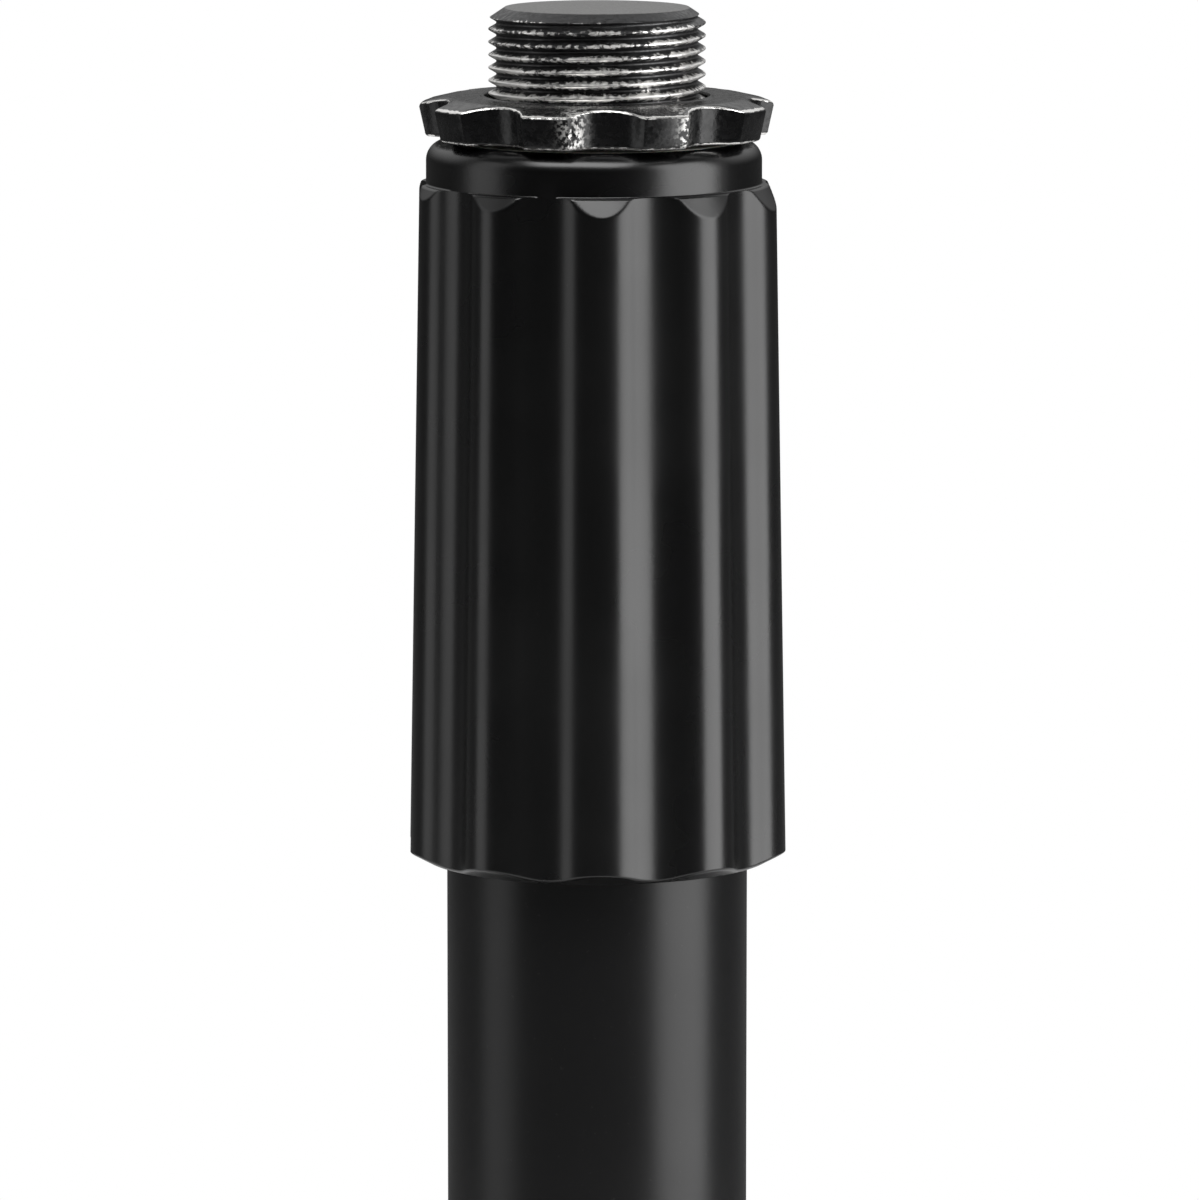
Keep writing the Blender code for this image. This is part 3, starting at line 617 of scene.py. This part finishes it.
def grip_enamel():
    """Smooth semi-gloss black enamel, a little wavy, with a few specks of dust in it."""
    made, shader = surface_material("grip_enamel", roughness=0.27)
    place = object_place(made)
    wave = noise(made, place, scale=130.0, detail=2.0)
    fine = noise(made, place, scale=2600.0, detail=3.0)
    dust = noise(made, place, scale=3600.0, detail=1.0)
    colour = mixed_colour(
        made,
        spread(made, dust, low=0.76, high=0.84),
        under=(0.0008, 0.0008, 0.0009),
        over=(0.01, 0.01, 0.01),
    )
    roughness = spread(
        made, noise(made, place, scale=60.0, detail=4.0), low=0.3, high=0.7, bottom=0.26, top=0.33
    )
    relief = bumped(made, wave, depth=0.05 * MM, strength=0.6)
    relief = bumped(
        made,
        noise(made, place, scale=700.0, detail=2.0),
        depth=0.004 * MM,
        strength=0.8,
        under=relief,
    )
    relief = bumped(made, fine, depth=0.004 * MM, strength=0.8, under=relief)
    connect(made, shader, Base_Color=colour, Roughness=roughness, Normal=relief)
    return made


grip_low, grip_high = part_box("clutch_grip")
ring_washer_low, ring_washer_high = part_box("ring_washer")
mast_low, mast_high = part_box("upper_tube")
shoulder_top = grip_high.z - NECK_HEIGHT
fillet_foot = shoulder_top + NECK_FILLET / 8
shoulder_run = SHOULDER_DROP / (CREST_TOP_RADIUS - LEDGE_RADIUS)
shoulder_bottom = shoulder_top - SHOULDER_DROP - WALL_SPARE * shoulder_run
mast_bore = mast_high.x + FIT_GAP
skirt_bore = tube_radius + FIT_GAP
recess_radius = ring_washer_high.x + FIT_GAP
recess_floor = ring_washer_low.z - FIT_GAP
thread_start = tube_high.z + THREAD_START_ABOVE_TUBE
grip_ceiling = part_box("clutch_washer")[1].z + FIT_GAP
outline = [(recess_radius, grip_high.z)]
outline += rounding(
    NECK_RADIUS - NECK_ROUND, grip_high.z - NECK_ROUND, NECK_ROUND, start=90, end=0, steps=14
)
outline += rounding(
    NECK_RADIUS + NECK_FILLET, shoulder_top + NECK_FILLET, NECK_FILLET, start=180, end=270, steps=6
)
outline += rounding(
    LEDGE_RADIUS - LEDGE_ROUND, shoulder_top - LEDGE_ROUND, LEDGE_ROUND, start=90, end=27, steps=4
)
for height in rows(shoulder_top - LEDGE_ROUND, shoulder_bottom, TURNED_ROW):
    outline.append((LEDGE_RADIUS + (shoulder_top - height) / shoulder_run, height))
lip_run = LIP_RISE / (CREST_BOTTOM_RADIUS - LIP_FOOT_RADIUS)
lip_top = grip_low.z + LIP_RISE + WALL_SPARE * lip_run
wall_height = shoulder_bottom - lip_top
for height in rows(shoulder_bottom, lip_top, wall_height / GRIP_WALL_STEPS)[1:]:
    share = (shoulder_bottom - height) / wall_height
    crest = CREST_TOP_RADIUS + (CREST_BOTTOM_RADIUS - CREST_TOP_RADIUS) * share
    outline.append((crest + WALL_SPARE, height))
for height in rows(lip_top, grip_low.z, TURNED_ROW)[1:]:
    outline.append((LIP_FOOT_RADIUS + (height - grip_low.z) / lip_run, height))
outline += [
    (skirt_bore, grip_low.z),
    (skirt_bore, thread_start),
    (THREAD_BORE, thread_start),
    (THREAD_BORE, grip_ceiling),
    (mast_bore, grip_ceiling),
    (mast_bore, recess_floor),
    (recess_radius, recess_floor),
]
fluted_grip = turned("fluted_grip", outline, GRIP_STEPS)
for vertex in fluted_grip.data.vertices:
    place = vertex.co
    radius = math.hypot(place.x, place.y)
    in_skirt = radius < skirt_bore + FIT_GAP and place.z < recess_floor
    if in_skirt or radius < recess_radius + FIT_GAP:
        continue
    share = (shoulder_top - place.z) / (shoulder_top - grip_low.z)
    crest = CREST_TOP_RADIUS + (CREST_BOTTOM_RADIUS - CREST_TOP_RADIUS) * share
    floor = FLOOR_TOP_RADIUS + (FLOOR_BOTTOM_RADIUS - FLOOR_TOP_RADIUS) * share
    fluted = fluted_radius(front_angle(place) - RIB_ANGLE, crest, floor)
    edge_blend = LIP_EDGE_BLEND if place.z <= lip_top else TURNED_EDGE_BLEND
    sideways = NECK_SHIFT * math.sin(front_angle(place))
    cut = radius - sideways if place.z > shoulder_bottom else radius
    wanted = soft_minimum(cut, fluted, edge_blend)
    if place.z > fillet_foot:
        wanted = max(wanted, min(cut, NECK_RADIUS - sideways))
    place.x *= wanted / radius
    place.y *= wanted / radius
settle(fluted_grip)
fit(fluted_grip, grip_enamel(), "grip", "grip_paint", "clutch_grip")

# Inner tube: the part of the mast that slides up out of the clutch, with a nylon bush at its foot.
# It is drawn steel in the same satin black as the outer tube, drilled across for the stud's pin.
inner_tube = turned("inner_tube", tube_outline(mast_low, mast_high, mast_high.x), TUBE_STEPS)
stud_pin_low, stud_pin_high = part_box("stud_pin")
stud_pin_radius = (stud_pin_high.z - stud_pin_low.z) / 2 + FIT_GAP
stud_pin_height = (stud_pin_high.z + stud_pin_low.z) / 2
lengthways = (math.pi / 2, 0.0, 0.0)
stud_pin_place = (0.0, 0.0, stud_pin_height)
drill_length = DRILL_LENGTH_IN_RADII * mast_high.x
combine(inner_tube, drill(stud_pin_radius, drill_length, stud_pin_place, lengthways))
settle(inner_tube)
fit(inner_tube, tube_paint, "mast", "tube_paint", "upper_tube")
dress(nylon, "guide_bush")
dress(zinc, "stud_pin")

# Stud: the solid threaded end that a microphone clip screws onto, 5/8 inch, 27 turns to the inch.
# It is blackened steel with a rolled thread, and use has worn the crests and the top face bright.
STUD_RADIUS = 7.94 * MM
THREAD_PITCH = 0.9407 * MM
THREAD_DEPTH = 0.577 * MM
CREST_WIDTH = 0.125 * THREAD_PITCH
THREAD_BLEND = 0.12 * MM
THREAD_SLOPE = math.tan(math.radians(30))
THREAD_STEPS = 96
PITCH_POINTS = 22
FRONT_CREST_HEIGHT = 226.46 * MM
BISECT_THRESHOLD = 0.0001 * MM
LEAD_HEIGHT = 0.8 * MM
LEAD_WIDTH = 1.2 * MM
SHANK_RADIUS = 6.45 * MM
THREAD_BEGINS = 218.5 * MM
SPARE_TURNS = 3


def thread_radius(along):
    """The thread's radius, this far along the axis from the middle of a crest."""
    from_crest = abs((along + THREAD_PITCH / 2) % THREAD_PITCH - THREAD_PITCH / 2)
    flank = STUD_RADIUS - (from_crest - CREST_WIDTH / 2) / THREAD_SLOPE
    rounded = soft_minimum(STUD_RADIUS + THREAD_BLEND / 4, flank, THREAD_BLEND)
    return -soft_minimum(-rounded, -(STUD_RADIUS - THREAD_DEPTH), THREAD_BLEND)


def calculate(material, operation, first, second):
    """Adds, multiplies or otherwise joins two values."""
    made = add_node(material, "ShaderNodeMath", {0: first, 1: second}, operation=operation)
    return made.outputs[0]


def worn_thread_steel():
    """Blackened steel, rubbed to bare metal on the crests and in patches on the flanks."""
    made, shader = surface_material("worn_thread_steel", roughness=0.36, metallic=1.0)
    place = object_place(made)
    flat = add_node(
        made, "ShaderNodeVectorMath", {0: place, 1: (1.0, 1.0, 0.0)}, operation="MULTIPLY"
    )
    radius = add_node(
        made, "ShaderNodeVectorMath", {0: flat.outputs[0]}, operation="LENGTH"
    ).outputs["Value"]
    patches = noise(made, place, scale=330.0, detail=3.0)
    pits = noise(made, place, scale=2600.0, detail=5.0)
    scratches = noise(made, place, scale=3200.0, detail=3.0)
    height = add_node(made, "ShaderNodeSeparateXYZ", {0: place}).outputs["Z"]
    used = spread(
        made, height, low=ring_washer_high.z, high=stud_high.z, bottom=0.2 * MM, top=-0.16 * MM
    )
    edge = calculate(
        made,
        "ADD",
        radius,
        spread(made, patches, low=0.34, high=0.66, bottom=-0.14 * MM, top=0.14 * MM),
    )
    edge = calculate(
        made,
        "ADD",
        edge,
        spread(made, pits, low=0.36, high=0.64, bottom=-0.22 * MM, top=0.14 * MM),
    )
    edge = calculate(made, "ADD", edge, used)
    worn = spread(made, edge, low=STUD_RADIUS - 0.36 * MM, high=STUD_RADIUS - 0.16 * MM)
    top_face = spread(
        made,
        height,
        low=stud_high.z - 0.06 * MM,
        high=stud_high.z - 0.01 * MM,
        bottom=0.0,
        top=0.2,
    )
    bare = calculate(made, "MAXIMUM", worn, top_face)
    colour = mixed_colour(made, bare, under=(0.07, 0.07, 0.071), over=(0.85, 0.84, 0.82))
    roughness = spread(made, scratches, low=0.3, high=0.7, bottom=0.3, top=0.52)
    connect(made, shader, Base_Color=colour, Roughness=roughness)
    relief = bumped(made, pits, depth=0.05 * MM, strength=0.8)
    connect(
        made, shader, Normal=bumped(made, scratches, depth=0.01 * MM, strength=0.8, under=relief)
    )
    return made


stud_low, stud_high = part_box("thread_stud")
bpy.ops.object.select_all(action="DESELECT")
turn_start = FRONT_CREST_HEIGHT + THREAD_PITCH / 4
while turn_start > THREAD_BEGINS - THREAD_PITCH:
    turn_start -= THREAD_PITCH
pitch_points = [
    (thread_radius(i * THREAD_PITCH / PITCH_POINTS), turn_start + i * THREAD_PITCH / PITCH_POINTS)
    for i in range(PITCH_POINTS + 1)
]
bpy.ops.mesh.primitive_plane_add(size=MM, location=(pitch_points[0][0], 0.0, pitch_points[0][1]))
threaded_stud = bpy.context.object
threaded_stud.name = threaded_stud.data.name = "threaded_stud"
bpy.ops.object.mode_set(mode="EDIT")
bpy.ops.mesh.select_all(action="SELECT")
bpy.ops.mesh.merge(type="CENTER")
draw(pitch_points)
bpy.ops.object.mode_set(mode="OBJECT")
bpy.ops.object.transform_apply(location=True, rotation=True, scale=True)
screw = threaded_stud.modifiers.new("thread", "SCREW")
screw.steps = THREAD_STEPS
screw.render_steps = THREAD_STEPS
screw.screw_offset = THREAD_PITCH
screw.iterations = math.ceil((stud_high.z - THREAD_BEGINS) / THREAD_PITCH) + SPARE_TURNS
screw.use_merge_vertices = True
screw.merge_threshold = MERGE_DISTANCE
bpy.ops.object.modifier_apply(modifier=screw.name)
bpy.ops.object.mode_set(mode="EDIT")
bpy.ops.mesh.select_all(action="SELECT")
bpy.ops.mesh.remove_doubles(threshold=MERGE_DISTANCE)
for cut_height, above in ((stud_high.z, True), (THREAD_BEGINS, False)):
    bpy.ops.mesh.select_all(action="SELECT")
    bpy.ops.mesh.bisect(
        plane_co=(0.0, 0.0, cut_height),
        plane_no=(0.0, 0.0, 1.0),
        use_fill=True,
        clear_outer=above,
        clear_inner=not above,
        threshold=BISECT_THRESHOLD,
    )
bpy.ops.mesh.select_all(action="SELECT")
bpy.ops.mesh.normals_make_consistent(inside=False)
bpy.ops.object.mode_set(mode="OBJECT")
for vertex in threaded_stud.data.vertices:
    radius = math.hypot(vertex.co.x, vertex.co.y)
    into_lead = max(vertex.co.z - (stud_high.z - LEAD_HEIGHT), 0.0) / LEAD_HEIGHT
    limit = STUD_RADIUS - LEAD_WIDTH * into_lead
    if radius > limit:
        vertex.co.x *= limit / radius
        vertex.co.y *= limit / radius
shank_top = THREAD_BEGINS + FIT_GAP / 2
shank_height = shank_top - stud_low.z
shank_middle = (shank_top + stud_low.z) / 2
shank = drill(SHANK_RADIUS, shank_height, (0.0, 0.0, shank_middle), sides=THREAD_STEPS)
combine(threaded_stud, shank, "UNION")
drill_length = DRILL_LENGTH_IN_RADII * STUD_RADIUS
combine(threaded_stud, drill(stud_pin_radius, drill_length, stud_pin_place, lengthways))
settle(threaded_stud)
fit(threaded_stud, worn_thread_steel(), "mast", "thread_steel", "thread_stud")

# Ring washer: the thin washer under the lock ring, which lets it turn without biting the grip.
# It is pressed from nylon and lies in a recess in the grip's top until the ring is screwed up.
WASHER_STEPS = 120
pressed_washer = turned(
    "pressed_washer",
    washer_outline(STUD_RADIUS + FIT_GAP, ring_washer_low, ring_washer_high),
    WASHER_STEPS,
)
fit(pressed_washer, nylon, "ring_carrier", "nylon", "ring_washer")

# Lock ring: the lobed ring that is screwed up against the clip to keep it from turning.
# It is cast zinc with glossy black plating, knocked through to bare metal along its edges.
RING_STEPS = 540
RING_RADIUS = 13.0 * MM
RING_NOTCHES = 9
NOTCH_RADIUS = 3.1 * MM
NOTCH_DEPTH = 1.8 * MM
NOTCH_ANGLE = math.radians(3)
NOTCH_BLEND = 0.55 * MM
RING_EDGE_ROUND = 0.35 * MM
RING_FLAT_RADIUS = 11.0 * MM
RING_CROWN_DROP = 0.45 * MM
RING_DRAFT = 0.4 * MM
RING_STILL_RADIUS = 9.3 * MM
HOLE_RIM_WIDTH = 0.2 * MM
HOLE_RIM_HEIGHT = 0.08 * MM
RING_ROW = 0.3 * MM
WEAR_REACH = 0.22 * MM
SCUFF_ANGLES = (-8.0, 31.0, -117.0, 150.0)
SCUFF_WIDTH = 3.2


def ring_edge(angle):
    """The ring's radius at an angle: round notches with softened corners leave lobes between."""
    pitch = math.tau / RING_NOTCHES
    from_notch = (angle - NOTCH_ANGLE + pitch / 2) % pitch - pitch / 2
    reach = RING_RADIUS - NOTCH_DEPTH + NOTCH_RADIUS
    across = reach * math.sin(from_notch)
    if abs(across) >= NOTCH_RADIUS:
        return RING_RADIUS
    notch = reach * math.cos(from_notch) - math.sqrt(NOTCH_RADIUS**2 - across**2)
    return soft_minimum(RING_RADIUS, notch, NOTCH_BLEND)


def ring_top(radius, top):
    """The height of the ring's crowned top at a radius."""
    share = min(max((radius - RING_FLAT_RADIUS) / (RING_RADIUS - RING_FLAT_RADIUS), 0.0), 1.0)
    return top - RING_CROWN_DROP * share


def chipped_plating():
    """Glossy black plating, knocked through to bright zinc along the edges, with some scuffs."""
    made, shader = surface_material("chipped_plating", roughness=0.2, metallic=0.0)
    shader.inputs["Specular IOR Level"].default_value = 0.3
    place = object_place(made)
    edge = add_node(made, "ShaderNodeAttribute", {}, attribute_name="edge_wear").outputs["Fac"]
    scuffed = add_node(made, "ShaderNodeAttribute", {}, attribute_name="scuffs").outputs["Fac"]
    knocks = noise(made, place, scale=2300.0, detail=4.0)
    patches = noise(made, place, scale=260.0, detail=2.0)
    rubs = noise(made, place, scale=3300.0, detail=5.0)
    likely = calculate(
        made, "MULTIPLY", edge, spread(made, patches, low=0.32, high=0.55, bottom=0.4, top=1.0)
    )
    burr = spread(made, calculate(made, "ADD", likely, knocks), low=0.98, high=1.14)
    scuff = calculate(
        made, "MULTIPLY", scuffed, spread(made, rubs, low=0.46, high=0.6, bottom=0.0, top=0.7)
    )
    bare = calculate(made, "MAXIMUM", burr, scuff)
    colour = mixed_colour(made, bare, under=(0.003, 0.003, 0.0032), over=(0.78, 0.77, 0.75))
    roughness = spread(made, knocks, low=0.3, high=0.7, bottom=0.16, top=0.34)
    relief = bumped(
        made, noise(made, place, scale=420.0, detail=3.0), depth=0.06 * MM, strength=0.6
    )
    relief = bumped(made, knocks, depth=0.03 * MM, strength=0.7, under=relief)
    connect(made, shader, Base_Color=colour, Metallic=bare, Roughness=roughness, Normal=relief)
    return made


ring_low, ring_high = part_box("lock_ring")
ring_bore = STUD_RADIUS + FIT_GAP
lobe_top = ring_high.z - RING_CROWN_DROP
foot_radius = RING_RADIUS - RING_DRAFT
outline = [
    (ring_bore, ring_high.z),
    (ring_bore + HOLE_RIM_WIDTH / 4, ring_high.z + HOLE_RIM_HEIGHT),
    (ring_bore + HOLE_RIM_WIDTH, ring_high.z + HOLE_RIM_HEIGHT),
    (ring_bore + 1.5 * HOLE_RIM_WIDTH, ring_high.z),
]
outline += [
    (radius, ring_top(radius, ring_high.z))
    for radius in rows(RING_STILL_RADIUS, RING_RADIUS - RING_EDGE_ROUND, RING_ROW)[:-1]
]
outline += rounding(
    RING_RADIUS - RING_EDGE_ROUND,
    lobe_top - RING_EDGE_ROUND,
    RING_EDGE_ROUND,
    start=80,
    end=0,
    steps=6,
)
outline += rounding(
    foot_radius - RING_EDGE_ROUND,
    ring_low.z + RING_EDGE_ROUND,
    RING_EDGE_ROUND,
    start=0,
    end=-90,
    steps=6,
)
outline += [(RING_STILL_RADIUS, ring_low.z), (ring_bore, ring_low.z)]
lobed_ring = turned("lobed_ring", outline, RING_STEPS)
wear = lobed_ring.data.attributes.new("edge_wear", "FLOAT", "POINT")
scuffs = lobed_ring.data.attributes.new("scuffs", "FLOAT", "POINT")
ring_middle = (ring_low.z + lobe_top) / 2
for index, vertex in enumerate(lobed_ring.data.vertices):
    place = vertex.co
    radius = math.hypot(place.x, place.y)
    to_top_edge = math.hypot(radius - RING_RADIUS + RING_EDGE_ROUND / 3, place.z - lobe_top)
    to_bottom_edge = math.hypot(radius - foot_radius + RING_EDGE_ROUND / 3, place.z - ring_low.z)
    wear.data[index].value = math.exp(-((min(to_top_edge, to_bottom_edge) / WEAR_REACH) ** 2))
    turn = math.degrees(front_angle(place))
    if radius > RING_FLAT_RADIUS:
        scuffs.data[index].value = sum(
            math.exp(-(((turn - angle) / SCUFF_WIDTH) ** 2)) for angle in SCUFF_ANGLES
        )
    if radius <= RING_STILL_RADIUS:
        continue
    edge = ring_edge(front_angle(place))
    share = (edge - RING_STILL_RADIUS) / (RING_RADIUS - RING_STILL_RADIUS)
    moved = RING_STILL_RADIUS + (radius - RING_STILL_RADIUS) * share
    if place.z > ring_middle:
        place.z += ring_top(moved, ring_high.z) - ring_top(radius, ring_high.z)
    place.x *= moved / radius
    place.y *= moved / radius
settle(lobed_ring)
fit(lobed_ring, chipped_plating(), "ring", "ring_plate", "lock_ring")

# Floor: a pale round table top under the stand, which takes its shadow.
# For the camera its rim fades into the white behind, so that no edge shows.
FLOOR_RADIUS = 450.0 * MM
FLOOR_FADE_START = 200.0 * MM
FLOOR_FADE_END = 0.97 * FLOOR_RADIUS
FLOOR_STEPS = 128
bpy.ops.object.select_all(action="DESELECT")
bpy.ops.mesh.primitive_circle_add(vertices=FLOOR_STEPS, radius=FLOOR_RADIUS, fill_type="NGON")
floor_disc = bpy.context.object
floor_disc.name = "floor"
pale, pale_shader = surface_material("pale_table", roughness=0.8)
pale_shader.inputs["Base Color"].default_value = (0.82, 0.82, 0.82, 1.0)
pale_shader.inputs["Specular IOR Level"].default_value = 0.1
spot = add_node(
    pale, "ShaderNodeVectorMath", {0: object_place(pale)}, operation="LENGTH"
).outputs["Value"]
fade = spread(pale, spot, low=FLOOR_FADE_START, high=FLOOR_FADE_END)
seen = add_node(pale, "ShaderNodeLightPath", {}).outputs["Is Camera Ray"]
white = add_node(pale, "ShaderNodeEmission", {"Strength": 1.0})
blend = add_node(pale, "ShaderNodeMixShader", {0: calculate(pale, "MULTIPLY", fade, seen)})
output = pale.node_tree.nodes["Material Output"]
pale.node_tree.links.new(pale_shader.outputs[0], blend.inputs[1])
pale.node_tree.links.new(white.outputs[0], blend.inputs[2])
pale.node_tree.links.new(blend.outputs[0], output.inputs["Surface"])
floor_disc.data.materials.append(pale)

# Light: a tall soft box on the right, a weaker one on the left, and a wide strip above the front.
# The black gloss shows them as the bright lines down the ribs and along the neck.
SIDE_HEIGHT = 400.0 * MM


def soft_box(name, place, aim, width, tall, radiance):
    """An area lamp at a place, turned to a point. Its radiance is in W/m2/sr."""
    data = bpy.data.lights.new(name, "AREA")
    data.shape = "RECTANGLE"
    data.size = width
    data.size_y = tall
    data.energy = radiance * math.pi * width * tall
    lamp = bpy.data.objects.new(name, data)
    lamp.location = place
    lamp.rotation_euler = (aim - lamp.location).to_track_quat("-Z", "Y").to_euler()
    lamp.visible_camera = False
    bpy.context.scene.collection.objects.link(lamp)


axis_point = Vector((0.0, 0.0, SIDE_HEIGHT))
grip_point = Vector((0.0, 0.0, grip_high.z))
soft_box(
    "right_soft_box", (0.84, -0.32, SIDE_HEIGHT), axis_point, width=0.74, tall=1.2, radiance=4.4
)
soft_box(
    "left_soft_box", (-0.89, -0.14, SIDE_HEIGHT), axis_point, width=0.45, tall=1.1, radiance=1.1
)
soft_box("front_strip", (-0.11, -0.47, 0.97), grip_point, width=0.9, tall=0.45, radiance=6.5)

# Background: plain white for the camera, with soft light from all round.
# Gloss sees a white screen behind, brightest high up, a dim table, and a dark room in front.
AMBIENT = 0.28
SCREEN_LOW = 0.05
TABLE_SHEEN = 0.17
world = bpy.data.worlds.new("studio")
bpy.context.scene.world = world
world.use_nodes = True
background = world.node_tree.nodes["Background"]
direction = add_node(world, "ShaderNodeTexCoord", {}).outputs["Generated"]
axes = add_node(world, "ShaderNodeSeparateXYZ", {0: direction}).outputs
behind = spread(world, axes["Y"], low=0.1, high=0.5)
screen = calculate(
    world,
    "MULTIPLY",
    behind,
    spread(world, axes["Z"], low=0.0, high=0.55, bottom=SCREEN_LOW, top=1.0),
)
table = spread(world, axes["Z"], low=-0.17, high=-0.08, bottom=TABLE_SHEEN, top=0.0)
table = calculate(world, "MULTIPLY", table, spread(world, axes["Z"], low=-0.32, high=-0.24))
backdrop = calculate(world, "MAXIMUM", screen, table)
path = add_node(world, "ShaderNodeLightPath", {})
glossy, through = path.outputs["Is Glossy Ray"], path.outputs["Is Transmission Ray"]
mirrored = calculate(world, "MAXIMUM", glossy, through)
unseen = add_node(world, "ShaderNodeMix", {"Factor": mirrored, 2: AMBIENT, 3: backdrop})
shown = {"Factor": path.outputs["Is Camera Ray"], 2: unseen.outputs[0], 3: 1.0}
strength = add_node(world, "ShaderNodeMix", shown).outputs[0]
world.node_tree.links.new(strength, background.inputs["Strength"])
background.inputs["Color"].default_value = (1.0, 1.0, 1.0, 1.0)
bpy.context.scene.view_settings.view_transform = "Standard"

# Camera: a long lens a little above the grip, looking down at the top of the stand.
# Its distance and tilt come from how round the ring's rim and the grip's lip look.
CAMERA_TILT = math.radians(8.3)
CAMERA_DISTANCE = 630.0 * MM
TARGET = Vector((0.18 * MM, 0.0, 185.01 * MM))
PIXELS_PER_METRE = 13565
FRAME_HEIGHT = 1200
SENSOR = 36.0
CLIP_START = 10.0 * MM
camera = bpy.data.objects.new("camera", bpy.data.cameras.new("camera"))
camera.data.sensor_fit = "VERTICAL"
camera.data.sensor_height = SENSOR
camera.data.sensor_width = SENSOR
camera.data.lens = SENSOR * PIXELS_PER_METRE * CAMERA_DISTANCE / FRAME_HEIGHT
camera.data.clip_start = CLIP_START
backwards = Vector((0.0, -math.cos(CAMERA_TILT), math.sin(CAMERA_TILT)))
camera.location = TARGET + CAMERA_DISTANCE * backwards
camera.rotation_euler = (math.pi / 2 - CAMERA_TILT, 0.0, 0.0)
bpy.context.scene.collection.objects.link(camera)
bpy.context.scene.camera = camera
